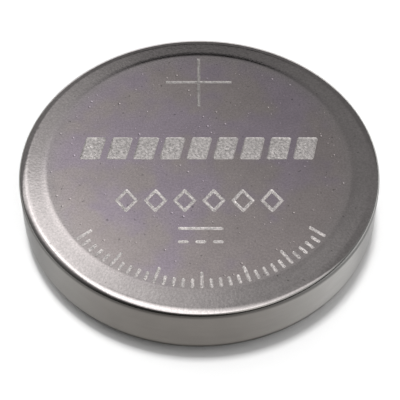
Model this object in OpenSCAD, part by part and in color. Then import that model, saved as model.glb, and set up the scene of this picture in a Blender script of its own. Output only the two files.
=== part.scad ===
// Lithium coin cell, 24.5 mm across and 5.0 mm high, in millimetres.
// It lies on its negative cap with the positive face up. The origin is the middle of the
// negative face, on the surface that the cell lies on, and every piece is turned about Z.

/* [Cell] */
// Outer diameter of the cell
cell_d = 24.5; // [24.4:0.1:28]
// Height over both terminal faces
cell_h = 5; // [4.9:0.1:7.7]

/* [Positive can] */
// Thickness of the can's sheet
can_t = 0.25; // [0.2:0.01:0.3]
// Diameter of the flat middle of the positive face
face_flat_d = 20.8; // [20.2:0.1:21.6]
// Fall of the positive face where it meets the edge, in degrees
crown_angle = 6; // [2:0.5:8]
// Outer radius of the edge between the positive face and the wall
can_edge_r = 0.5; // [0.4:0.05:0.6]
// Outer radius of the rim that is crimped in over the gasket
crimp_r = 1.3; // [1.1:0.05:1.3]
// Height of the crimped rim above the negative face
crimp_z = 0.4; // [0.3:0.05:0.45]
// Straight length of the rim past its bend
crimp_tail = 0.1; // [0.09:0.01:0.15]
// Rollover of the rim's sheared edge
crimp_edge_r = 0.08; // [0.04:0.01:0.09]

/* [Negative cap] */
// Thickness of the cap's sheet
cap_t = 0.25; // [0.2:0.01:0.28]
// Diameter of the flat negative face
terminal_d = 18.8; // [18.6:0.1:19]
// Outer radius of the bend round the negative face
terminal_edge_r = 0.45; // [0.4:0.05:0.5]
// Outer radius of the bend between the step and the shoulder
shoulder_bend_r = 0.2; // [0.1:0.05:0.25]
// Slope of the step between the negative face and the shoulder, in degrees
step_angle = 70; // [65:1:80]

/* [Gasket] */
// Thickness of the gasket between the can and the cap
gasket_t = 0.3; // [0.25:0.01:0.35]
// Thickness of the gasket under the end of the cap's skirt
gasket_base_t = 0.4; // [0.3:0.05:0.5]
// Width of the lip inside the cap's skirt
gasket_lip_w = 0.4; // [0.3:0.05:0.5]
// Depth of the channel that holds the cap's skirt
gasket_channel = 0.95; // [0.6:0.05:1.2]
// Part of the gasket that shows inside the crimped rim
gasket_show = 0.25; // [0.18:0.01:0.3]
// Corner of the lip, cut at 45 degrees
gasket_chamfer = 0.1; // [0.05:0.01:0.14]

/* [Electrodes] */
// Diameter of the lithium disc
lithium_d = 18.6; // [17:0.1:18.6]
// Thickness of the lithium disc
lithium_t = 1.25; // [1.15:0.05:1.3]
// Diameter of the pressed cathode pellet
pellet_d = 19.2; // [18.2:0.1:19.2]
// Chamfer round the pellet's free end
pellet_chamfer = 0.2; // [0.1:0.05:0.3]
// Outer diameter of the separator cup
separator_d = 20.4; // [20.4:0.1:20.6]
// Thickness of the separator
separator_t = 0.25; // [0.2:0.01:0.28]
// Outer radius of the bend at the foot of the separator's rim
separator_bend_r = 0.5; // [0.35:0.05:0.5]
// Height of the separator cup
separator_h = 2.2; // [1:0.1:2.2]

/* [Cathode ring] */
// Thickness of the ring's sheet
ring_t = 0.2; // [0.15:0.01:0.25]
// Width of the ring's flange, between the pellet and the can
ring_flange = 1.6; // [1:0.1:3]
// Height of the ring's wall, round the pellet
ring_h = 1.2; // [0.8:0.1:1.6]
// Outer radius of the ring's bend
ring_bend_r = 0.3; // [0.26:0.01:0.4]

/* [Hidden] */
$fn = 180;
// Steps in which each bend of a section is drawn
bend_steps = 12;

steel = [0.74, 0.72, 0.71];
polypropylene = [0.16, 0.15, 0.15];
lithium = [0.80, 0.80, 0.82];
fleece = [0.93, 0.93, 0.90];
manganese_dioxide = [0.10, 0.10, 0.11];

can_r = cell_d / 2;
face_flat_r = face_flat_d / 2;
// The crown is one arc, level where the flat ends and at crown_angle where the edge begins
crown_r = (can_r - can_edge_r - face_flat_r) / sin(crown_angle) + can_edge_r;
crown_c = [face_flat_r, cell_h - crown_r];
can_edge_c = crown_c + (crown_r - can_edge_r) * [sin(crown_angle), cos(crown_angle)];
crimp_c = [can_r - crimp_r, crimp_z + crimp_r];

// The crimp presses can, gasket and cap together, so their bends share one centre
seal_depth = can_t + gasket_t;
shoulder_z = crimp_z + seal_depth;
skirt_r = can_r - seal_depth;
gasket_top_z = can_edge_c[1] + (can_edge_r - can_t) * cos(crown_angle);
skirt_top_z = gasket_top_z - gasket_base_t;

terminal_r = terminal_d / 2;
terminal_edge_c = [terminal_r, terminal_edge_r];
step_direction = [cos(step_angle), sin(step_angle)];
step_normal = [sin(step_angle), -cos(step_angle)];
// Straight length of the step, once both bends have taken their share of its height
step_length = (shoulder_z - (terminal_edge_r + shoulder_bend_r) * (1 - cos(step_angle)))
              / sin(step_angle);
shoulder_bend_c = terminal_edge_c + (terminal_edge_r + shoulder_bend_r) * step_normal
                  + step_length * step_direction;

lithium_z = cap_t;
separator_z = lithium_z + lithium_t;
pellet_z = separator_z + separator_t;
pellet_top_z = cell_h - can_t;
pellet_r = pellet_d / 2;
ring_r = pellet_r + ring_t;
ring_bend_c = [ring_r - ring_bend_r, pellet_top_z - ring_bend_r];

// Points along an arc in a section, from angle a to angle b, with 0 along +X
function arc(centre, radius, a, b) =
    [for (i = [0 : bend_steps])
        let (angle = a + (b - a) * i / bend_steps)
            centre + radius * [cos(angle), sin(angle)]];

function reversed(points) = [for (i = [len(points) - 1 : -1 : 0]) points[i]];

// Line through the can's wall at a depth under its outside, from the axis to the crimp
function can_line(depth) = concat(
    [[0, cell_h - depth]],
    arc(crown_c, crown_r - depth, 90, 90 - crown_angle),
    can_side_line(depth));

// The same line from the edge of the positive face onwards
function can_side_line(depth) = concat(
    arc(can_edge_c, can_edge_r - depth, 90 - crown_angle, 0),
    arc(crimp_c, crimp_r - depth, 0, -90));

// Line through the cap's wall at a depth above its outside, from the axis to the skirt's end
function cap_line(depth) = concat(
    [[0, depth]],
    arc(terminal_edge_c, terminal_edge_r - depth, -90, step_angle - 90),
    arc(shoulder_bend_c, shoulder_bend_r + depth, 90 + step_angle, 90),
    arc(crimp_c, crimp_r - seal_depth - depth, -90, 0),
    [[skirt_r - depth, skirt_top_z]]);

// Line through the wall of the separator cup, from the axis to the top of its rim
function separator_line(depth) = concat(
    [[0, separator_z + depth]],
    arc([separator_d / 2 - separator_bend_r, separator_z + separator_bend_r],
        separator_bend_r - depth, -90, 0),
    [[separator_d / 2 - depth, separator_z + separator_h]]);

// Line through the ring's wall, from the inside of its flange to the end of its wall
function ring_line(depth) = concat(
    [[ring_r - ring_flange, pellet_top_z - depth]],
    arc(ring_bend_c, ring_bend_r - depth, 90, 0),
    [[ring_r - depth, pellet_top_z - ring_h]]);

// Turns a sheet section about Z, given its two faces as lines that run the same way
module turned_sheet(outside, inside) {
    rotate_extrude()
        polygon(concat(outside, reversed(inside)));
}

// Deep-drawn steel cup, whose rim is crimped in over the gasket
module positive_can() {
    rim_end_r = crimp_c[0] - crimp_tail;
    rollover = arc([rim_end_r + crimp_edge_r, crimp_z + crimp_edge_r], crimp_edge_r, 270, 180);
    color(steel)
        turned_sheet(
            concat(can_line(0), rollover),
            concat(can_line(can_t), [[rim_end_r, crimp_z + can_t]]));
}

// Stepped steel cap, whose skirt stands in the gasket's channel
module negative_cap() {
    color(steel)
        turned_sheet(cap_line(0), cap_line(cap_t));
}

// Moulded ring that keeps the cap off the can and seals the cell, as the crimp has bent it
module gasket() {
    lip_out_r = skirt_r - cap_t;
    lip_in_r = lip_out_r - gasket_lip_w;
    lip_end_z = skirt_top_z - gasket_channel;
    bead_c = [crimp_c[0] - crimp_tail - gasket_show + gasket_t / 2,
              crimp_z + can_t + gasket_t / 2];
    color(polypropylene)
        rotate_extrude()
            polygon(concat(
                [[lip_in_r, gasket_top_z]],
                can_side_line(can_t),
                arc(bead_c, gasket_t / 2, 270, 90),
                arc(crimp_c, crimp_r - seal_depth, -90, 0),
                [[skirt_r, skirt_top_z],
                 [lip_out_r, skirt_top_z],
                 [lip_out_r, lip_end_z + gasket_chamfer],
                 [lip_out_r - gasket_chamfer, lip_end_z],
                 [lip_in_r + gasket_chamfer, lip_end_z],
                 [lip_in_r, lip_end_z + gasket_chamfer]]));
}

// Lithium disc, pressed onto the inside of the cap
module lithium_anode() {
    color(lithium)
        translate([0, 0, lithium_z])
            cylinder(d = lithium_d, h = lithium_t);
}

// Shallow fleece cup between the electrodes, turned up round the pellet
module separator() {
    color(fleece)
        turned_sheet(separator_line(0), separator_line(separator_t));
}

// Pressed manganese dioxide pellet, with the ring let into the edge that meets the can
module cathode_pellet() {
    color(manganese_dioxide)
        rotate_extrude()
            polygon(concat(
                [[0, pellet_z], [0, pellet_top_z], [ring_r - ring_flange, pellet_top_z]],
                ring_line(ring_t),
                [[pellet_r, pellet_z + pellet_chamfer],
                 [pellet_r - pellet_chamfer, pellet_z]]));
}

// Angle-section steel ring that holds the pellet's edge and joins it to the can
module cathode_ring() {
    color(steel)
        turned_sheet(ring_line(0), ring_line(ring_t));
}

positive_can();
negative_cap();
gasket();
lithium_anode();
separator();
cathode_pellet();
cathode_ring();
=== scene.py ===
"""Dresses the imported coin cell: fine meshes for the three pieces that show, the marks engraved
in the positive face, the metals' finish, and the floor, light and camera of the photograph.

Sections and marks are in millimetres in the cell's own frame, and meshes are made in metres.
"""
import math

import bpy
import numpy as np
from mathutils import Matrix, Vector
from mathutils.geometry import delaunay_2d_cdt


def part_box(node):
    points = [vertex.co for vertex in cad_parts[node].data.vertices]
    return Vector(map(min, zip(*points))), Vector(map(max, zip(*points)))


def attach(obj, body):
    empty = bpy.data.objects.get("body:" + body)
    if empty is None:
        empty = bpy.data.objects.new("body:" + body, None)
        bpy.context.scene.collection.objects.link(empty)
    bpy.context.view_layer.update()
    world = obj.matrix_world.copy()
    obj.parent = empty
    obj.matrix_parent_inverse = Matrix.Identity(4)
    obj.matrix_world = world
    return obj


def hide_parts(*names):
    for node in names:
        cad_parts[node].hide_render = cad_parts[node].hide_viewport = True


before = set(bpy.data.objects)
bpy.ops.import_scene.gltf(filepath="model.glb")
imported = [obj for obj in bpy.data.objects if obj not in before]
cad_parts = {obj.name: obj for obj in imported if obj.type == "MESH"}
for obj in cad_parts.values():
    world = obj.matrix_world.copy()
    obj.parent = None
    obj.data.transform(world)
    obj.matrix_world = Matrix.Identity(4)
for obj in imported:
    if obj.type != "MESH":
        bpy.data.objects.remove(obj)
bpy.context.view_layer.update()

MM = 0.001
# Straight stretches that each full turn of a piece is drawn with
TURN_STEPS = 360
# Steps in which each bend of a section is drawn
BEND_STEPS = 12
# Edges that turn by more than this are shaded as corners
CORNER_DEG = 28.0

# Sizes of the sections that the frame's boxes don't give
FACE_FLAT_R = 10.4
CROWN_DEG = 6.0
CAN_EDGE_R = 0.5
CRIMP_R = 1.3
CRIMP_TAIL = 0.1
CRIMP_EDGE_R = 0.08
GASKET_T = 0.3
GASKET_SHOW = 0.25
GASKET_LIP_W = 0.4
GASKET_CHANNEL = 0.95
GASKET_CHAMFER = 0.1
CAP_T = 0.25
TERMINAL_R = 9.4
TERMINAL_EDGE_R = 0.45
SHOULDER_BEND_R = 0.2
STEP_DEG = 70.0

# Height below which the wall takes its darker colour with painted reflection, in the bend of the
# can's edge
PAINTED_WALL_TOP_Z = 4.785
# Slope of the crown by radius: the crease, a shallow cone and then the fall to the edge
CREASE_RADII = (10.28, 10.35, 10.46, 10.55, 10.85, 11.6, 11.666)
CREASE_DEGREES = (0.0, 1.2, 4.0, 4.0, 2.0, 2.0, 5.0)
CROWN_STEPS = 28
# The edge is a wide bend that ends at this slope, and then a tight one down to the wall
EDGE_WIDE_R = 1.0
EDGE_TIGHT_R = 0.27
EDGE_TURN_DEG = 33.4

# Engraving
MARK_DEPTH = 0.035
MARK_SLOPE_W = 0.05
STROKE_W = 0.24
# Corner radius of a bar, as a share of its width
BAR_ROUNDING = 0.45
CORNER_STEPS = 4
# Stipple on the marks' floors: pitch, spread of the heights, and as shares of the pitch the
# unevenness of the grid and its distance from the edges
STIPPLE_PITCH = 0.075
STIPPLE_HEIGHT = 0.007
STIPPLE_JITTER = 0.3
STIPPLE_MARGIN = 0.35
ENGRAVING_SEED = 5

# Plus sign at the back of the face
PLUS_CENTRE = (-0.05, 7.73)
PLUS_SIZE = 4.7

# Row of leaning blocks
BLOCKS = 9
BLOCK_ROW_W = 16.4
BLOCK_ROW_Y = 1.5
BLOCK_H = 2.0
BLOCK_GAP = 0.42
BLOCK_LEAN = 0.42
BLOCK_CORNER_R = 0.16

# Row of thin-lined diamonds
DIAMONDS = 6
DIAMOND_ROW_W = 11.3
DIAMOND_ROW_Y = -3.1
DIAMOND_H = 2.1
DIAMOND_W = 1.6
DIAMOND_OUTER_CORNER_R = 0.12
DIAMOND_INNER_CORNER_R = 0.04

# Direct current symbol: a line over dashes
CURRENT_CENTRE = (0.1, -6.0)
CURRENT_W = 3.0
CURRENT_RISE = 1.1
CURRENT_DASHES = 3
CURRENT_DASH_W = 0.72

# Scale of ticks round the front
TICK_SPAN_DEG = 105.0
TICK_MIDDLE_DEG = 271.0
TICKS = 31
TICK_IN_R = 8.95
TICK_SHORT = 0.75
TICK_LONG = 1.3
TICKS_PER_LONG = 5

# Pits of the rolled sheet
PIT_TRIES = 420
PIT_R_MIN = 0.03
PIT_R_MAX = 0.085
PIT_DEPTH_SHARE = 0.25
PIT_SIDES = 8
# Rings round a pit's middle, as shares of its radius and depth. The last ring keeps the pit's
# shading off the flat round it.
PIT_RINGS = ((0.5, 0.75), (1.0, 0.0), (1.25, 0.0))

# Face and rim. Radii and heights in mm; a pair is the two ends of a smooth change.
FACE_PURPLE = (0.684, 0.590, 0.680)
FACE_TAN = (0.680, 0.603, 0.597)
RIM_GREY = (0.660, 0.612, 0.605)
RIM_TINT_R = (9.0, 11.0)
RIM_STREAK_R = (9.6, 10.9)
RIM_GLINT = 0.03
FACE_ROUGHNESS = (0.11, 0.15)
RIM_ROUGHNESS_DROP = 0.05
FACE_GRAIN_MM = 0.0012
RIM_STREAK_MM = 0.0035
# The face is more purple to the back left by this much of the mottle per mm
MOTTLE_LEAN = 0.006

# Drawn wall. Its colour holds a painted reflection, dark in front and paler to the sides with the
# cube of the distance from WALL_MIDDLE_X, up to a limit that is lower at the left.
WALL_PAINTED_DARK = (0.193, 0.180, 0.167)
WALL_PAINTED_PALE = (0.880, 0.870, 0.850)
WALL_MIDDLE_X = -1.1
WALL_PAINTED_DRIFT_PER_MM3 = 0.00055
WALL_LIMIT_X = (-6, 6)
WALL_LIMIT = (0.38, 0.8)
# Painted shade line under the edge: how dark, between which heights, and how much lower it starts
# per squared mm to the right
PAINTED_SHADE_LINE = 0.6
DARK_LINE_FOOT_Z = (4.35, 4.66)
DARK_LINE_TOP_Z = (4.77, 4.65)
DARK_LINE_SAG = 0.0025
WALL_ROUGHNESS = (0.17, 0.22)
WALL_LINE_MM = 0.0008
# A metal with a tint below 1 mirrors less where it is seen aslant
WALL_EDGE_TINT = 0.4

# Etched floors of the marks, with painted shade that darkens them between these places towards
# the back
ETCHED_DARK = (0.54, 0.51, 0.50)
ETCHED_PALE = (1.0, 0.94, 0.92)
ETCHED_Y = (-4, 8)
ETCHED_PAINTED_SHADE = (1.0, 0.6)
ETCHED_ROUGHNESS = 0.42
# The frosted floor scatters light, so it isn't all metal to the shader
ETCHED_METALLIC = 0.75
ETCHED_RELIEF_MM = 0.016

# Cap, gasket, floor and sealed pieces
CAP_DARK = (0.41, 0.40, 0.39)
CAP_PALE = (0.47, 0.46, 0.45)
CAP_GRAIN = (0.5, 14.0, 14.0)
CAP_GRAIN_MM = 0.002
CAP_ROUGHNESS = (0.22, 0.32)
GASKET_DARK = (0.022, 0.022, 0.023)
GASKET_PALE = (0.04, 0.04, 0.04)
GASKET_GRAIN_MM = 0.004
GASKET_ROUGHNESS = 0.5
FLOOR_WHITE = (0.96, 0.96, 0.96)
FLOOR_ROUGHNESS = 0.9
FLOOR_HALF_M = 4.0
INNER_GRAIN_MM = 0.01
# Finish of the sealed pieces: dark and pale colour, roughness, metallic and scale of the grain
INNER = {
    "lithium_anode": ((0.50, 0.50, 0.53), (0.68, 0.68, 0.69), 0.55, 1.0, 2.0),
    "separator": ((0.72, 0.72, 0.69), (0.86, 0.86, 0.83), 0.9, 0.0, 12.0),
    "cathode_pellet": ((0.010, 0.010, 0.012), (0.03, 0.03, 0.032), 0.85, 0.0, 6.0),
    "cathode_ring": (CAP_DARK, CAP_PALE, 0.3, 1.0, 5.0),
}

# Room: strengths of its lights, each added to the glow that comes from all round
ROOM_GLOW = 0.14
ROOM_LIGHTS = {"softbox": 1.5, "wing": 0.7, "spill": 0.3, "left": 0.66, "wall": 0.05,
               "haze": 0.055, "front": -0.07, "seam": -0.13}
# Places of the lights. A pair is the two ends of a fade. Four numbers are the start and the end
# of a light, and half the width of its fade at each.
SOFTBOX_NEAR = (-0.66, -0.34)
SOFTBOX_FAR = (-0.28, 0.28)
SOFTBOX_ALONG = (-1.12, 1.5, 0.13, 0.3)
SOFTBOX_TAPER_START = -0.25
SOFTBOX_TAPER = 0.75
WING_ACROSS = (0.35, 1.5, 0.2, 0.4)
WING_BACK = (-0.95, -0.06, 0.15, 0.08)
SPILL_SLANT = 1.34
SPILL_FAR = (0.5, 1.15)
SPILL_NEAR = (-0.3, 0.0)
SPILL_BESIDE = (-0.6, -0.4)
SPILL_ALONG = (-1.32, -0.95)
# The spill is weaker by this share where it is right of and nearer than these fades
SPILL_FAINT = 0.55
SPILL_FAINT_ACROSS = (0.0, 0.08)
SPILL_FAINT_BACK = (0.7, 0.6)
# Azimuths and elevations in degrees. The left panel's foot falls by a slant per degree aside,
# and by more past the turn.
LEFT_AZIMUTH = (-60, -8.5, 8, 10)
LEFT_SLANT = 0.36
LEFT_TURN_DEG = 20
LEFT_MORE_SLANT = 0.25
LEFT_FOOT = (52.5, 58)
LEFT_TOP = (55.5, 65.5)
ROOM_WALL_AZIMUTH = (-75, 95, 15, 5)
ROOM_WALL_FOOT = (38, 46)
ROOM_WALL_TURN_DEG = 22
ROOM_WALL_SLANT = 0.9
HAZE_AZIMUTH = (-12, -22)
HAZE_ASIDE = (90, 60)
FRONT_ASIDE = (100, 135)
FRONT_TOP = (35, 45)
SEAM_ELEVATION = (35.8, 39.4, 0.8, 0.8)
SEAM_ASIDE = (11, 6)

# Key lamp
KEY_ENERGY = 1.9
KEY_SPREAD_DEG = 9.0
# Direction that the key lamp shines from: overhead, and a little from the back left
KEY_FROM = (-0.03, 0.035, 1.0)

# Camera, in mm from the origin
CAMERA_DISTANCE = 100.0
CAMERA_ELEVATION_DEG = 51.14
CAMERA_AIM = (0.05, 0.0, 1.212)
FOCAL_PIXELS = 1428.4
FRAME_PIXELS = 400
SENSOR_MM = 36.0


# Sections

def arc(centre, radius, start_deg, end_deg):
    """Points along an arc in a section, with 0 degrees along +X."""
    angles = np.radians(np.linspace(start_deg, end_deg, BEND_STEPS + 1))
    return [(centre[0] + radius * math.cos(a), centre[1] + radius * math.sin(a)) for a in angles]


def read_cell():
    """Driving sizes in mm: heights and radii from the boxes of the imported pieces, and from them
    the centres of the bends."""
    can_low, can_high = (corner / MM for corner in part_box("positive_can"))
    cap_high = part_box("negative_cap")[1] / MM
    gasket_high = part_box("gasket")[1] / MM
    cell = {"can_r": can_high.x, "height": can_high.z, "crimp_z": can_low.z,
            "can_t": can_high.x - gasket_high.x, "skirt_r": cap_high.x,
            "skirt_top_z": cap_high.z, "gasket_top_z": gasket_high.z}
    tilt = math.radians(CROWN_DEG)
    crown_r = (cell["can_r"] - CAN_EDGE_R - FACE_FLAT_R) / math.sin(tilt) + CAN_EDGE_R
    cell["crown_r"] = crown_r
    cell["crown_c"] = (FACE_FLAT_R, cell["height"] - crown_r)
    cell["edge_c"] = (cell["can_r"] - CAN_EDGE_R,
                      cell["crown_c"][1] + (crown_r - CAN_EDGE_R) * math.cos(tilt))
    cell["crimp_c"] = (cell["can_r"] - CRIMP_R, cell["crimp_z"] + CRIMP_R)
    return cell


def can_side_line(cell, depth):
    """Line through the can's wall at a depth under its outside, from edge to crimp."""
    return (arc(cell["edge_c"], CAN_EDGE_R - depth, 90 - CROWN_DEG, 0)
            + arc(cell["crimp_c"], CRIMP_R - depth, 0, -90))


def crown_line(cell):
    """Outside of the crown, with the soft crease that the press leaves round the flat middle."""
    radii = np.linspace(CREASE_RADII[0], CREASE_RADII[-1], CROWN_STEPS + 1)
    slope = np.tan(np.radians(np.interp(radii, CREASE_RADII, CREASE_DEGREES)))
    fall = np.concatenate([[0], np.cumsum((slope[1:] + slope[:-1]) / 2 * np.diff(radii))])
    return list(zip(radii, cell["height"] - fall))


def edge_line(cell):
    """Outside from the crown round the edge and down to the crimp's bend."""
    crown_end = Vector(crown_line(cell)[-1])
    start, turn = math.radians(CREASE_DEGREES[-1]), math.radians(EDGE_TURN_DEG)
    wide_c = crown_end - EDGE_WIDE_R * Vector((math.sin(start), math.cos(start)))
    tight_c = wide_c + (EDGE_WIDE_R - EDGE_TIGHT_R) * Vector((math.sin(turn), math.cos(turn)))
    # The wide bend's end and the tight bend's start are one point
    return (arc(wide_c, EDGE_WIDE_R, 90 - CREASE_DEGREES[-1], 90 - EDGE_TURN_DEG)[1:]
            + arc(tight_c, cell["can_r"] - tight_c.x, 90 - EDGE_TURN_DEG, 0)[1:]
            + arc(cell["crimp_c"], CRIMP_R, 0, -90))


def can_section(cell):
    """Outside of the can from the flat face to the rim, and inside back to the axis."""
    rim_end_r = cell["crimp_c"][0] - CRIMP_TAIL
    rollover_c = (rim_end_r + CRIMP_EDGE_R, cell["crimp_z"] + CRIMP_EDGE_R)
    inside = (arc(cell["crown_c"], cell["crown_r"] - cell["can_t"], 90, 90 - CROWN_DEG)
              + can_side_line(cell, cell["can_t"]))
    return (crown_line(cell) + edge_line(cell)
            + arc(rollover_c, CRIMP_EDGE_R, 270, 180)
            + [(rim_end_r, cell["crimp_z"] + cell["can_t"])] + inside[::-1]
            + [(0, cell["height"] - cell["can_t"])])


def cap_line(cell, depth):
    """Line through the cap's wall at a depth above its outside, from axis to skirt."""
    slope = math.radians(STEP_DEG)
    bends = TERMINAL_EDGE_R + SHOULDER_BEND_R
    seal_depth = cell["can_t"] + GASKET_T
    shoulder_z = cell["crimp_z"] + seal_depth
    step = (shoulder_z - bends * (1 - math.cos(slope))) / math.sin(slope)
    edge_c = (TERMINAL_R, TERMINAL_EDGE_R)
    shoulder_c = (edge_c[0] + bends * math.sin(slope) + step * math.cos(slope),
                  edge_c[1] - bends * math.cos(slope) + step * math.sin(slope))
    return ([(0, depth)]
            + arc(edge_c, TERMINAL_EDGE_R - depth, -90, STEP_DEG - 90)
            + arc(shoulder_c, SHOULDER_BEND_R + depth, 90 + STEP_DEG, 90)
            + arc(cell["crimp_c"], CRIMP_R - seal_depth - depth, -90, 0)
            + [(cell["skirt_r"] - depth, cell["skirt_top_z"])])


def gasket_section(cell):
    """Closed section of the gasket, with the bead that shows inside the crimped rim."""
    seal_depth = cell["can_t"] + GASKET_T
    lip_out_r = cell["skirt_r"] - CAP_T
    lip_in_r = lip_out_r - GASKET_LIP_W
    lip_end_z = cell["skirt_top_z"] - GASKET_CHANNEL
    bead_c = (cell["crimp_c"][0] - CRIMP_TAIL - GASKET_SHOW + GASKET_T / 2,
              cell["crimp_z"] + cell["can_t"] + GASKET_T / 2)
    return ([(lip_in_r, cell["gasket_top_z"])]
            + can_side_line(cell, cell["can_t"])
            + arc(bead_c, GASKET_T / 2, 270, 90)
            + arc(cell["crimp_c"], CRIMP_R - seal_depth, -90, 0)
            + [(cell["skirt_r"], cell["skirt_top_z"]),
               (lip_out_r, cell["skirt_top_z"]),
               (lip_out_r, lip_end_z + GASKET_CHAMFER),
               (lip_out_r - GASKET_CHAMFER, lip_end_z),
               (lip_in_r + GASKET_CHAMFER, lip_end_z),
               (lip_in_r, lip_end_z + GASKET_CHAMFER)])


# Marks, each a list of closed outlines on the face: the first holds the others as islands

def rounded(corners, radius):
    """Outline with each corner of a convex shape rounded. The corners run anticlockwise."""
    outline = []
    count = len(corners)
    for i, corner in enumerate(corners):
        corner = Vector(corner)
        before = (Vector(corners[i - 1]) - corner).normalized()
        after = (Vector(corners[(i + 1) % count]) - corner).normalized()
        half = before.angle(after) / 2
        centre = corner + (before + after).normalized() * (radius / math.sin(half))
        start = corner + before * (radius / math.tan(half)) - centre
        turn = math.pi - 2 * half
        for step in range(CORNER_STEPS + 1):
            angle = turn * step / CORNER_STEPS
            c, s = math.cos(angle), math.sin(angle)
            outline.append((centre.x + start.x * c - start.y * s,
                            centre.y + start.x * s + start.y * c))
    return outline


def bar(centre, length, width, angle_deg=0.0):
    """Rounded bar: length lies along angle_deg."""
    angle = math.radians(angle_deg)
    along = Vector((math.cos(angle), math.sin(angle))) * (length / 2)
    across = Vector((-math.sin(angle), math.cos(angle))) * (width / 2)
    centre = Vector(centre)
    corners = [centre - along - across, centre + along - across,
               centre + along + across, centre - along + across]
    return rounded(corners, BAR_ROUNDING * width)


def plus_mark():
    """Plus sign at the back of the face."""
    centre, arm = PLUS_CENTRE, PLUS_SIZE / 2
    half = STROKE_W / 2
    quarter = [(half, -arm), (half, -half), (arm, -half)]
    outline = []
    for turn in range(4):
        c, s = [(1, 0), (0, 1), (-1, 0), (0, -1)][turn]
        outline += [(centre[0] + x * c - y * s, centre[1] + x * s + y * c) for x, y in quarter]
    return [outline]


def block_marks():
    """Row of broad leaning blocks across the middle."""
    pitch = (BLOCK_ROW_W - BLOCK_LEAN + BLOCK_GAP) / BLOCKS
    width = pitch - BLOCK_GAP
    marks = []
    for i in range(BLOCKS):
        left = -BLOCK_ROW_W / 2 + i * pitch
        low, high = BLOCK_ROW_Y - BLOCK_H / 2, BLOCK_ROW_Y + BLOCK_H / 2
        corners = [(left, low), (left + width, low),
                   (left + width + BLOCK_LEAN, high), (left + BLOCK_LEAN, high)]
        marks.append([rounded(corners, BLOCK_CORNER_R)])
    return marks


def diamond_marks():
    """Row of thin-lined diamonds under the blocks."""
    pitch = (DIAMOND_ROW_W - DIAMOND_W) / (DIAMONDS - 1)
    # Distance from the middle to a side, for the outer outline and then the inner
    side = DIAMOND_W * DIAMOND_H / 2 / math.hypot(DIAMOND_W, DIAMOND_H)
    shrink = 1 - STROKE_W / side
    marks = []
    for i in range(DIAMONDS):
        x = -DIAMOND_ROW_W / 2 + DIAMOND_W / 2 + i * pitch
        outlines = []
        for scale, radius in ((1, DIAMOND_OUTER_CORNER_R), (shrink, DIAMOND_INNER_CORNER_R)):
            w, h = DIAMOND_W / 2 * scale, DIAMOND_H / 2 * scale
            corners = [(x, DIAMOND_ROW_Y - h), (x + w, DIAMOND_ROW_Y),
                       (x, DIAMOND_ROW_Y + h), (x - w, DIAMOND_ROW_Y)]
            outlines.append(rounded(corners, radius))
        marks.append(outlines)
    return marks


def direct_current_marks():
    """Direct current symbol: a line over three dashes."""
    x, y = CURRENT_CENTRE
    marks = [[bar((x, y + CURRENT_RISE / 2), CURRENT_W, STROKE_W)]]
    spacing = (CURRENT_W - CURRENT_DASH_W) / (CURRENT_DASHES - 1)
    for i in range(CURRENT_DASHES):
        dash_x = x - CURRENT_W / 2 + CURRENT_DASH_W / 2 + i * spacing
        marks.append([bar((dash_x, y - CURRENT_RISE / 2), CURRENT_DASH_W, STROKE_W)])
    return marks


def tick_marks():
    """Scale of ticks round the front of the face, every fifth one long."""
    marks = []
    for i in range(TICKS):
        angle = TICK_MIDDLE_DEG + TICK_SPAN_DEG * (i / (TICKS - 1) - 0.5)
        length = TICK_LONG if i % TICKS_PER_LONG == 0 else TICK_SHORT
        out_r = TICK_IN_R + TICK_LONG
        middle = out_r - length / 2
        centre = (middle * math.cos(math.radians(angle)), middle * math.sin(math.radians(angle)))
        marks.append([bar(centre, length, STROKE_W, angle)])
    return marks


def inset(outline, distance):
    """Outline moved in by a distance, to the left of its own direction."""
    points = np.array(outline)
    before = points - np.roll(points, 1, axis=0)
    after = np.roll(points, -1, axis=0) - points
    before /= np.linalg.norm(before, axis=1)[:, None]
    after /= np.linalg.norm(after, axis=1)[:, None]
    normal_before = np.stack([-before[:, 1], before[:, 0]], axis=1)
    normal_after = np.stack([-after[:, 1], after[:, 0]], axis=1)
    mitre = normal_before + normal_after
    mitre /= (mitre * normal_before).sum(axis=1)[:, None]
    return points + mitre * distance


def inside(points, outline):
    """Which of the points lie inside a closed outline."""
    outline = np.array(outline)
    x, y = points[:, 0][:, None], points[:, 1][:, None]
    x0, y0 = outline[:, 0], outline[:, 1]
    x1, y1 = np.roll(x0, -1), np.roll(y0, -1)
    spans = (y0 > y) != (y1 > y)
    with np.errstate(divide="ignore", invalid="ignore"):
        crossing = x0 + (y - y0) * (x1 - x0) / (y1 - y0)
    return (spans & (x < crossing)).sum(axis=1) % 2 == 1


def stipple_points(floor_outlines, rng):
    """Jittered grid of points on a mark's floor, clear of its outlines."""
    low = floor_outlines[0].min(axis=0)
    high = floor_outlines[0].max(axis=0)
    grid = np.stack(np.meshgrid(np.arange(low[0], high[0], STIPPLE_PITCH),
                                np.arange(low[1], high[1], STIPPLE_PITCH)), axis=-1)
    grid = grid.reshape(-1, 2)
    grid = grid + rng.uniform(-STIPPLE_JITTER, STIPPLE_JITTER, grid.shape) * STIPPLE_PITCH
    margin = STIPPLE_MARGIN * STIPPLE_PITCH
    keep = inside(grid, inset(floor_outlines[0], margin))
    for island in floor_outlines[1:]:
        keep &= ~inside(grid, inset(island, -margin))
    return grid[keep]


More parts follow.
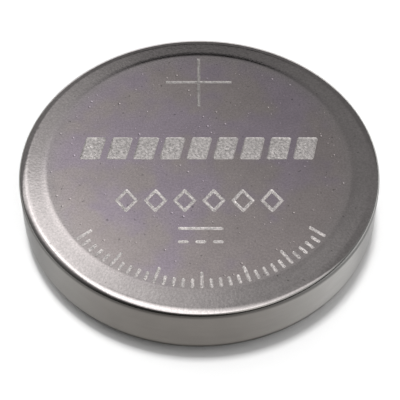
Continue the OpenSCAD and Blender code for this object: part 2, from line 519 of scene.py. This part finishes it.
def pit_points(marks, top_z, rng):
    """Points and heights of tiny pits, scattered over the face and clear of the marks."""
    reach = CREASE_RADII[0] - 2 * PIT_R_MAX
    spots = rng.uniform(-reach, reach, (PIT_TRIES, 2))
    clear = np.hypot(spots[:, 0], spots[:, 1]) < reach
    for outlines in marks:
        clear &= ~inside(spots, inset(outlines[0], -2 * PIT_R_MAX))
    points, heights = [], []
    for x, y in spots[clear]:
        radius = PIT_R_MIN + (PIT_R_MAX - PIT_R_MIN) * rng.random() ** 3
        points.append((x, y))
        heights.append(top_z - PIT_DEPTH_SHARE * radius)
        for ring_r, share in PIT_RINGS:
            for angle in np.radians(np.arange(0, 360, 360 / PIT_SIDES)):
                points.append((x + radius * ring_r * math.cos(angle),
                               y + radius * ring_r * math.sin(angle)))
                heights.append(top_z - share * PIT_DEPTH_SHARE * radius)
    return points, heights


class FacePoints:
    """Points of the flat face with their heights, and the closed outlines among them."""

    def __init__(self):
        self.points, self.heights, self.loops, self.kinds = [], [], [], []

    def add_outline(self, outline, height, kind):
        """Adds a closed outline of one height. Its kind is face, mark, floor or island."""
        start = len(self.points)
        self.points.extend(map(tuple, outline))
        self.heights.extend([height] * len(outline))
        self.loops.append(list(range(start, len(self.points))))
        self.kinds.append(kind)

    def add_point(self, point, height):
        self.points.append(point)
        self.heights.append(height)


def add_mark(face, outlines, top_z, rng):
    """Adds a mark's outlines at the face, its outlines at the floor and its stippled floor."""
    floor_z = top_z - MARK_DEPTH
    face.add_outline(outlines[0], top_z, "mark")
    floor = [inset(outlines[0], MARK_SLOPE_W)]
    face.add_outline(floor[0], floor_z, "floor")
    for island in outlines[1:]:
        face.add_outline(island, top_z, "island")
        floor.append(inset(island, -MARK_SLOPE_W))
        face.add_outline(floor[-1], floor_z, "floor")
    for point in stipple_points(floor, rng):
        face.add_point(point, floor_z + rng.normal(0, STIPPLE_HEIGHT))


def engraved_face(marks, top_z):
    """Vertices, triangles and etched flags of the flat face with its marks cut in, and the
    vertices of its rim."""
    rng = np.random.default_rng(ENGRAVING_SEED)
    face = FacePoints()
    turns = np.radians(np.arange(TURN_STEPS) * 360.0 / TURN_STEPS)
    rim = np.stack([np.cos(turns), np.sin(turns)], axis=1) * CREASE_RADII[0]
    face.add_outline(rim, top_z, "face")
    for outlines in marks:
        add_mark(face, outlines, top_z, rng)
    for point, height in zip(*pit_points(marks, top_z, rng)):
        face.add_point(point, height)

    coords, _, faces, origins, _, parents = delaunay_2d_cdt(
        [Vector(p) for p in face.points], [], face.loops, 1, 1e-7)
    vertices = [(p.x, p.y, face.heights[source[0]]) for p, source in zip(coords, origins)]
    etched = []
    for owners in parents:
        names = {face.kinds[i] for i in owners}
        etched.append("mark" in names and "island" not in names)
    rim_ids = {source: i for i, sources in enumerate(origins) for source in sources
               if source < TURN_STEPS}
    return vertices, faces, etched, [rim_ids[i] for i in range(TURN_STEPS)]


# Meshes

def revolve(section, closed):
    """Vertices and quads of a section turned about Z. A point on the axis becomes a pole."""
    turns = np.radians(np.arange(TURN_STEPS) * 360.0 / TURN_STEPS)
    vertices, rings = [], []
    for r, z in section:
        start = len(vertices)
        if r < 1e-9:
            vertices.append((0.0, 0.0, z))
            rings.append([start] * TURN_STEPS)
        else:
            vertices += [(r * math.cos(a), r * math.sin(a), z) for a in turns]
            rings.append(list(range(start, start + TURN_STEPS)))
    pairs = list(zip(rings, rings[1:] + rings[:1]))
    if not closed:
        pairs.pop()
    faces = []
    for ring, after in pairs:
        for i in range(TURN_STEPS):
            j = (i + 1) % TURN_STEPS
            corners = [ring[i], after[i], after[j], ring[j]]
            face = [c for n, c in enumerate(corners) if c not in corners[:n]]
            if len(face) > 2:
                faces.append(face)
    return vertices, faces, rings


def make_piece(name, vertices, faces, materials, material_ids=None):
    """Smooth-shaded piece from vertices in mm, with its corners kept sharp."""
    mesh = bpy.data.meshes.new(name)
    mesh.from_pydata([Vector(v) * MM for v in vertices], [], faces)
    for material in materials:
        mesh.materials.append(material)
    if material_ids is not None:
        mesh.polygons.foreach_set("material_index", material_ids)
    mesh.shade_smooth()
    mesh.set_sharp_from_angle(angle=math.radians(CORNER_DEG))
    mesh.update()
    piece = bpy.data.objects.new(name, mesh)
    bpy.context.scene.collection.objects.link(piece)
    return piece


def make_can(cell, steel, etched_steel, wall_steel_painted_reflection):
    """Can with its engraved positive face and drawn wall."""
    marks = ([plus_mark()] + block_marks() + diamond_marks() + direct_current_marks()
             + tick_marks())
    vertices, faces, etched, rim = engraved_face(marks, cell["height"])
    section = can_section(cell)
    side, side_faces, rings = revolve(section, closed=False)
    # The side's first ring is the rim of the engraved face
    place = {ring_id: rim[i] for i, ring_id in enumerate(rings[0])}
    for i, vertex in enumerate(side):
        if i not in place:
            place[i] = len(vertices)
            vertices.append(vertex)
    side_faces = [[place[i] for i in reversed(face)] for face in side_faces]
    # Slots of the materials: 0 for the face and crown, 1 in the marks, 2 on the drawn wall, whose
    # colour holds painted reflection
    slots = [1 if flag else 0 for flag in etched]
    for face in side_faces:
        slots.append(2 if min(vertices[i][2] for i in face) < PAINTED_WALL_TOP_Z else 0)
    can = make_piece("can_shell", vertices, faces + side_faces,
                     [steel, etched_steel, wall_steel_painted_reflection], slots)
    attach(can, "root")
    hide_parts("positive_can")


def make_cap(cell, steel):
    """Negative cap, with both faces of its sheet."""
    section = cap_line(cell, 0) + cap_line(cell, CAP_T)[::-1]
    vertices, faces, _ = revolve(section, closed=True)
    cap = make_piece("cap_shell", vertices, faces, [steel])
    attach(cap, "root")
    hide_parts("negative_cap")


def make_gasket(cell, plastic):
    """Gasket between can and cap."""
    vertices, faces, _ = revolve(gasket_section(cell), closed=True)
    gasket = make_piece("gasket_ring", vertices, faces, [plastic])
    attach(gasket, "root")
    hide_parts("gasket")


# Materials

class Graph:
    """Short calls that add nodes to one material's or world's tree."""

    def __init__(self, tree):
        self.tree = tree
        tree.nodes.clear()

    def node(self, kind, inputs=None, **settings):
        made = self.tree.nodes.new("ShaderNode" + kind)
        for key, value in settings.items():
            setattr(made, key, value)
        for key, value in (inputs or {}).items():
            self.feed(made.inputs[key], value)
        return made

    def feed(self, socket, value):
        if isinstance(value, bpy.types.NodeSocket):
            self.tree.links.new(value, socket)
        else:
            socket.default_value = value

    def math(self, operation, *values):
        made = self.tree.nodes.new("ShaderNodeMath")
        made.operation = operation
        for socket, value in zip(made.inputs, values):
            self.feed(socket, value)
        return made.outputs[0]

    def ramp(self, value, low, high, to_low=0.0, to_high=1.0):
        """Value's smooth way from to_low at low to to_high at high."""
        made = self.node("MapRange", {"Value": value, "From Min": low, "From Max": high,
                                      "To Min": to_low, "To Max": to_high},
                         interpolation_type="SMOOTHSTEP")
        return made.outputs["Result"]

    def window(self, value, low, high, soft_low, soft_high):
        """1 between low and high, with soft ends."""
        rise = self.ramp(value, low - soft_low, low + soft_low)
        fall = self.ramp(value, high - soft_high, high + soft_high, 1.0, 0.0)
        return self.math("MULTIPLY", rise, fall)

    def product(self, first, *others):
        """Product of two or more values."""
        for other in others:
            first = self.math("MULTIPLY", first, other)
        return first

    def mix(self, factor, first, second):
        """Colour between first and second, each a socket or red, green and blue."""
        made = self.node("Mix", data_type="RGBA")
        self.feed(made.inputs[0], factor)
        for socket, colour in ((made.inputs[6], first), (made.inputs[7], second)):
            self.feed(socket, (*colour, 1) if isinstance(colour, tuple) else colour)
        return made.outputs[2]

    def scale(self, colour, factor):
        """Colour or vector times a number."""
        return self.node("VectorMath", {0: colour, "Scale": factor}, operation="SCALE").outputs[0]

    def split(self, vector):
        """X, Y and Z of a vector."""
        return self.node("SeparateXYZ", {0: vector}).outputs

    def bump(self, height_mm):
        """Normal of a relief with the given height in mm."""
        made = self.node("Bump", {"Height": self.math("MULTIPLY", height_mm, MM),
                                  "Strength": 1.0, "Distance": 1.0})
        return made.outputs[0]

    def noise(self, vector, scale, detail=2.0, roughness=0.5):
        """Noise with about scale lumps to each unit of the vector."""
        made = self.node("TexNoise", {"Vector": vector, "Scale": scale, "Detail": detail,
                                      "Roughness": roughness})
        return made.outputs["Fac"]

    def place_mm(self):
        """Place on the object, in mm."""
        return self.scale(self.node("TexCoord").outputs["Object"], 1 / MM)


def new_material(name):
    """Material and the empty graph of its nodes."""
    material = bpy.data.materials.new(name)
    material.use_nodes = True
    return material, Graph(material.node_tree)


def finish_material(graph, colour, roughness, metallic, normal=None, edge_tint=1.0):
    """Adds the shader and the output. A metal's edge_tint dims it where it is seen aslant."""
    inputs = {"Base Color": colour, "Roughness": roughness, "Metallic": metallic,
              "Specular Tint": (edge_tint, edge_tint, edge_tint, 1)}
    if normal is not None:
        inputs["Normal"] = normal
    shader = graph.node("BsdfPrincipled", inputs)
    graph.node("OutputMaterial", {"Surface": shader.outputs[0]})


def axis_radius(graph, place):
    """Distance from the cell's axis."""
    x, y, _ = graph.split(place)
    return graph.math("SQRT", graph.math("ADD", graph.math("MULTIPLY", x, x),
                                         graph.math("MULTIPLY", y, y)))


def ring_place(graph, place, turns_scale, radius_scale):
    """Place as angle round the axis, and distance from it and along it, each scaled."""
    x, y, z = graph.split(place)
    around = graph.math("MULTIPLY", graph.math("ARCTAN2", y, x), turns_scale)
    across = graph.math("MULTIPLY", axis_radius(graph, place), radius_scale)
    along = graph.math("MULTIPLY", z, radius_scale)
    return graph.node("CombineXYZ", {0: around, 1: across, 2: along}).outputs[0]


def face_tint(g, place, radius):
    """Broad tint of the face: purplish at the back left, tan elsewhere, greyer at the rim."""
    x, y, _ = g.split(place)
    mottle = g.math("MULTIPLY_ADD", g.math("SUBTRACT", x, y), MOTTLE_LEAN,
                    g.noise(place, 0.22, 3.0, 0.55))
    tint = g.mix(g.ramp(mottle, 0.4, 0.58), FACE_PURPLE, FACE_TAN)
    return g.mix(g.ramp(radius, *RIM_TINT_R), tint, RIM_GREY)


def can_steel():
    """Satin steel with a faint mottle and fine specks, streaked round the rim."""
    material, g = new_material("can_steel")
    place = g.place_mm()
    radius = axis_radius(g, place)
    cloud = g.noise(place, 0.9, 3.0, 0.6)
    speck = g.noise(place, 7.0, 2.0, 0.7)
    fleck = g.noise(place, 3.1, 1.0, 0.5)
    streak = g.noise(ring_place(g, place, 60.0, 4.0), 1.0, 3.0, 0.6)
    rim = g.ramp(radius, *RIM_STREAK_R)
    glint = g.product(rim, g.ramp(streak, 0.3, 0.7, -RIM_GLINT, RIM_GLINT))

    shade = g.product(g.ramp(cloud, 0.2, 0.8, 0.95, 1.04), g.ramp(speck, 0.3, 0.7, 0.9, 1.09),
                      g.ramp(fleck, 0.19, 0.27, 0.6, 1.0), g.math("ADD", glint, 1))
    colour = g.scale(face_tint(g, place, radius), shade)
    roughness = g.math("MULTIPLY_ADD", rim, -RIM_ROUGHNESS_DROP,
                       g.ramp(cloud, 0.2, 0.8, *FACE_ROUGHNESS))
    grain = g.noise(place, 14.0, 2.0, 0.6)
    relief = g.math("MULTIPLY_ADD", grain, FACE_GRAIN_MM, g.product(rim, streak, RIM_STREAK_MM))
    finish_material(g, colour, roughness, 1.0, g.bump(relief))
    return material


def painted_wall_reflection(g, place):
    """Painted reflection in the wall's colour: dark in front and paler towards both sides."""
    x, _, _ = g.split(place)
    aside = g.math("ABSOLUTE", g.math("SUBTRACT", x, WALL_MIDDLE_X))
    painted_share = g.math("MULTIPLY", g.math("POWER", aside, 3), WALL_PAINTED_DRIFT_PER_MM3)
    painted_share = g.math("MINIMUM", painted_share, g.ramp(x, *WALL_LIMIT_X, *WALL_LIMIT))
    return g.mix(painted_share, WALL_PAINTED_DARK, WALL_PAINTED_PALE)


def wall_painted_shade_line(g, place):
    """Strength of the painted shade line under the edge, wider at the right."""
    x, _, z = g.split(place)
    right = g.math("MAXIMUM", x, 0)
    lifted = g.math("MULTIPLY_ADD", g.math("MULTIPLY", right, right), DARK_LINE_SAG, z)
    return g.product(g.ramp(lifted, *DARK_LINE_FOOT_Z), g.ramp(z, *DARK_LINE_TOP_Z))


def wall_steel_painted_reflection():
    """Steel of the drawn wall, with fine lines round it. Its colour holds painted reflection,
    dark in front and pale at the sides, and a painted shade line under the edge.
    """
    material, g = new_material("wall_steel_painted_reflection")
    place = g.place_mm()
    lines = g.noise(ring_place(g, place, 3.0, 9.0), 1.0, 4.0, 0.6)
    cloud = g.noise(place, 0.5, 2.0)
    shade = g.product(g.ramp(lines, 0.25, 0.75, 0.96, 1.04), g.ramp(cloud, 0.3, 0.7, 0.97, 1.03),
                      g.math("MULTIPLY_ADD", wall_painted_shade_line(g, place), -PAINTED_SHADE_LINE, 1))
    # The colour carries the painted reflection and the painted shade line under the edge
    colour = g.scale(painted_wall_reflection(g, place), shade)
    relief = g.math("MULTIPLY", lines, WALL_LINE_MM)
    finish_material(g, colour, g.ramp(lines, 0.2, 0.8, *WALL_ROUGHNESS), 1.0, g.bump(relief),
                    WALL_EDGE_TINT)
    return material


def etched_steel():
    """Rougher, paler steel on the floor and walls of the marks, with painted shade that darkens
    it towards the back.
    """
    material, g = new_material("etched_steel")
    place = g.place_mm()
    speck = g.noise(place, 6.5, 3.0, 0.8)
    tone = g.mix(g.ramp(speck, 0.34, 0.66), ETCHED_DARK, ETCHED_PALE)
    # Painted shade: the colour darkens towards the back
    colour = g.scale(tone, g.ramp(g.split(place)[1], *ETCHED_Y, *ETCHED_PAINTED_SHADE))
    relief = g.math("MULTIPLY", g.noise(place, 9.0, 3.0, 0.7), ETCHED_RELIEF_MM)
    finish_material(g, colour, ETCHED_ROUGHNESS, ETCHED_METALLIC, g.bump(relief))
    return material


def cap_steel():
    """Satin steel with the straight grain of rolled sheet."""
    material, g = new_material("cap_steel")
    stretched = g.node("VectorMath", {0: g.place_mm(), 1: CAP_GRAIN},
                       operation="MULTIPLY").outputs[0]
    grain = g.noise(stretched, 1.0, 3.0)
    colour = g.mix(g.ramp(grain, 0.3, 0.7), CAP_DARK, CAP_PALE)
    relief = g.math("MULTIPLY", grain, CAP_GRAIN_MM)
    finish_material(g, colour, g.ramp(grain, 0.2, 0.8, *CAP_ROUGHNESS), 1.0, g.bump(relief))
    return material


def gasket_plastic():
    """Dark moulded plastic."""
    material, g = new_material("gasket_plastic")
    grain = g.noise(g.place_mm(), 8.0, 3.0)
    relief = g.math("MULTIPLY", grain, GASKET_GRAIN_MM)
    finish_material(g, g.mix(grain, GASKET_DARK, GASKET_PALE), GASKET_ROUGHNESS, 0.0,
                    g.bump(relief))
    return material


def inner_material(name, dark, pale, roughness, metallic, scale):
    """Finish of a piece sealed inside."""
    material, g = new_material(name)
    grain = g.noise(g.place_mm(), scale, 4.0, 0.6)
    relief = g.math("MULTIPLY", grain, INNER_GRAIN_MM)
    finish_material(g, g.mix(g.ramp(grain, 0.3, 0.7), dark, pale), roughness, metallic,
                    g.bump(relief))
    return material


def dress_inner_nodes():
    """Gives the sealed pieces their materials."""
    for node, look in INNER.items():
        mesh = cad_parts[node].data
        mesh.materials.clear()
        mesh.materials.append(inner_material(node, *look))


# Floor, light and camera

def make_floor():
    """Plain white floor under the cell."""
    half = FLOOR_HALF_M
    mesh = bpy.data.meshes.new("floor")
    mesh.from_pydata([(-half, -half, 0), (half, -half, 0), (half, half, 0), (-half, half, 0)],
                     [], [(0, 1, 2, 3)])
    floor = bpy.data.objects.new("floor", mesh)
    bpy.context.scene.collection.objects.link(floor)
    material, g = new_material("floor_white")
    finish_material(g, (*FLOOR_WHITE, 1), FLOOR_ROUGHNESS, 0.0)
    mesh.materials.append(material)


def ceiling_lights(g, direction):
    """Lights laid out on a ceiling one unit up: softbox, wing and spill.

    The softbox hangs slantwise over the cell, from the back left to the front right, and narrows
    towards the back left. The wing is a weaker panel at the front right. The spill is a faint
    light that reaches on behind the softbox, and is weaker at the right.
    """
    x, y, z = direction
    up = g.math("MAXIMUM", z, 0.02)
    across = g.math("DIVIDE", x, up)
    back = g.math("DIVIDE", y, up)
    beside = g.math("MULTIPLY", g.math("ADD", across, back), math.sqrt(0.5))
    along = g.math("MULTIPLY", g.math("SUBTRACT", across, back), math.sqrt(0.5))

    past = g.math("MAXIMUM", g.math("SUBTRACT", SOFTBOX_TAPER_START, along), 0)
    narrowed = g.math("SUBTRACT", beside, g.math("MULTIPLY", past, SOFTBOX_TAPER))
    softbox = g.product(g.ramp(narrowed, *SOFTBOX_NEAR), g.ramp(beside, *SOFTBOX_FAR, 1.0, 0.0),
                        g.window(along, *SOFTBOX_ALONG))
    wing = g.product(g.window(across, *WING_ACROSS), g.window(back, *WING_BACK))
    faint = g.product(g.ramp(across, *SPILL_FAINT_ACROSS), g.ramp(back, *SPILL_FAINT_BACK))
    slanted = g.math("MULTIPLY_ADD", across, SPILL_SLANT, back)
    spill = g.product(g.ramp(slanted, *SPILL_FAR, 1.0, 0.0), g.ramp(beside, *SPILL_BESIDE),
                      g.ramp(along, *SPILL_ALONG), g.ramp(back, *SPILL_NEAR),
                      g.math("MULTIPLY_ADD", faint, -SPILL_FAINT, 1))
    return {"softbox": softbox, "wing": wing, "spill": spill}


def wall_lights(g, direction):
    """Lights laid out by elevation and by azimuth from the back, in degrees.

    A panel stands at the back left, with a slanting foot. The wall behind the cell and a haze at
    the left are faint. The front of the room and a seam at the back are darker than the rest.
    """
    x, y, z = direction
    azimuth = g.math("MULTIPLY", g.math("ARCTAN2", x, y), 180 / math.pi)
    elevation = g.math("MULTIPLY", g.math("ARCSINE", z), 180 / math.pi)
    aside = g.math("ABSOLUTE", azimuth)

    past = g.math("MAXIMUM", g.math("SUBTRACT", aside, LEFT_TURN_DEG), 0)
    lifted = g.math("MULTIPLY_ADD", aside, LEFT_SLANT, elevation)
    lifted = g.math("MULTIPLY_ADD", past, LEFT_MORE_SLANT, lifted)
    left = g.product(g.window(azimuth, *LEFT_AZIMUTH), g.ramp(lifted, *LEFT_FOOT),
                     g.ramp(elevation, *LEFT_TOP, 1.0, 0.0))
    past = g.math("MAXIMUM", g.math("SUBTRACT", azimuth, ROOM_WALL_TURN_DEG), 0)
    lifted = g.math("ADD", elevation, g.math("MULTIPLY", past, ROOM_WALL_SLANT))
    wall = g.product(g.ramp(lifted, *ROOM_WALL_FOOT), g.window(azimuth, *ROOM_WALL_AZIMUTH))
    haze = g.product(g.ramp(azimuth, *HAZE_AZIMUTH), g.ramp(aside, *HAZE_ASIDE))
    front = g.product(g.ramp(aside, *FRONT_ASIDE), g.ramp(elevation, *FRONT_TOP, 1.0, 0.0))
    seam = g.product(g.window(elevation, *SEAM_ELEVATION), g.ramp(aside, *SEAM_ASIDE))
    return {"left": left, "wall": wall, "haze": haze, "front": front, "seam": seam}


def light_room():
    """Soft studio light, given by its direction from the cell."""
    world = bpy.context.scene.world or bpy.data.worlds.new("studio")
    bpy.context.scene.world = world
    world.use_nodes = True
    g = Graph(world.node_tree)
    direction = g.split(g.node("TexCoord").outputs["Generated"])
    lights = {**ceiling_lights(g, direction), **wall_lights(g, direction)}
    glow = ROOM_GLOW
    for name, strength in ROOM_LIGHTS.items():
        glow = g.math("MULTIPLY_ADD", lights[name], strength, glow)
    shader = g.node("Background", {"Color": (1, 1, 1, 1), "Strength": glow})
    g.node("OutputWorld", {"Surface": shader.outputs[0]})


def key_lamp():
    """Soft lamp overhead for the cell's shadow on the floor. The metals don't mirror it."""
    data = bpy.data.lights.new("key", "SUN")
    data.energy = KEY_ENERGY
    data.angle = math.radians(KEY_SPREAD_DEG)
    lamp = bpy.data.objects.new("key", data)
    lamp.rotation_euler = Vector(KEY_FROM).to_track_quat("Z", "Y").to_euler()
    lamp.visible_glossy = False
    bpy.context.scene.collection.objects.link(lamp)


def make_camera():
    """Camera at the photograph's angle, aimed near the middle of the cell."""
    data = bpy.data.cameras.new("camera")
    data.sensor_width = SENSOR_MM
    data.lens = FOCAL_PIXELS / FRAME_PIXELS * SENSOR_MM
    data.clip_start = 0.001
    data.clip_end = 50.0
    camera = bpy.data.objects.new("camera", data)
    bpy.context.scene.collection.objects.link(camera)
    tilt = math.radians(CAMERA_ELEVATION_DEG)
    aim = Vector(CAMERA_AIM)
    offset = Vector((0, -math.cos(tilt), math.sin(tilt))) * CAMERA_DISTANCE
    camera.location = (aim + offset) * MM
    camera.rotation_euler = (-offset).to_track_quat("-Z", "Y").to_euler()
    bpy.context.scene.camera = camera


def main():
    make_camera()
    make_floor()
    light_room()
    key_lamp()
    cell = read_cell()
    make_can(cell, can_steel(), etched_steel(), wall_steel_painted_reflection())
    make_cap(cell, cap_steel())
    make_gasket(cell, gasket_plastic())
    dress_inner_nodes()
    bpy.context.scene.view_settings.view_transform = "Standard"


main()
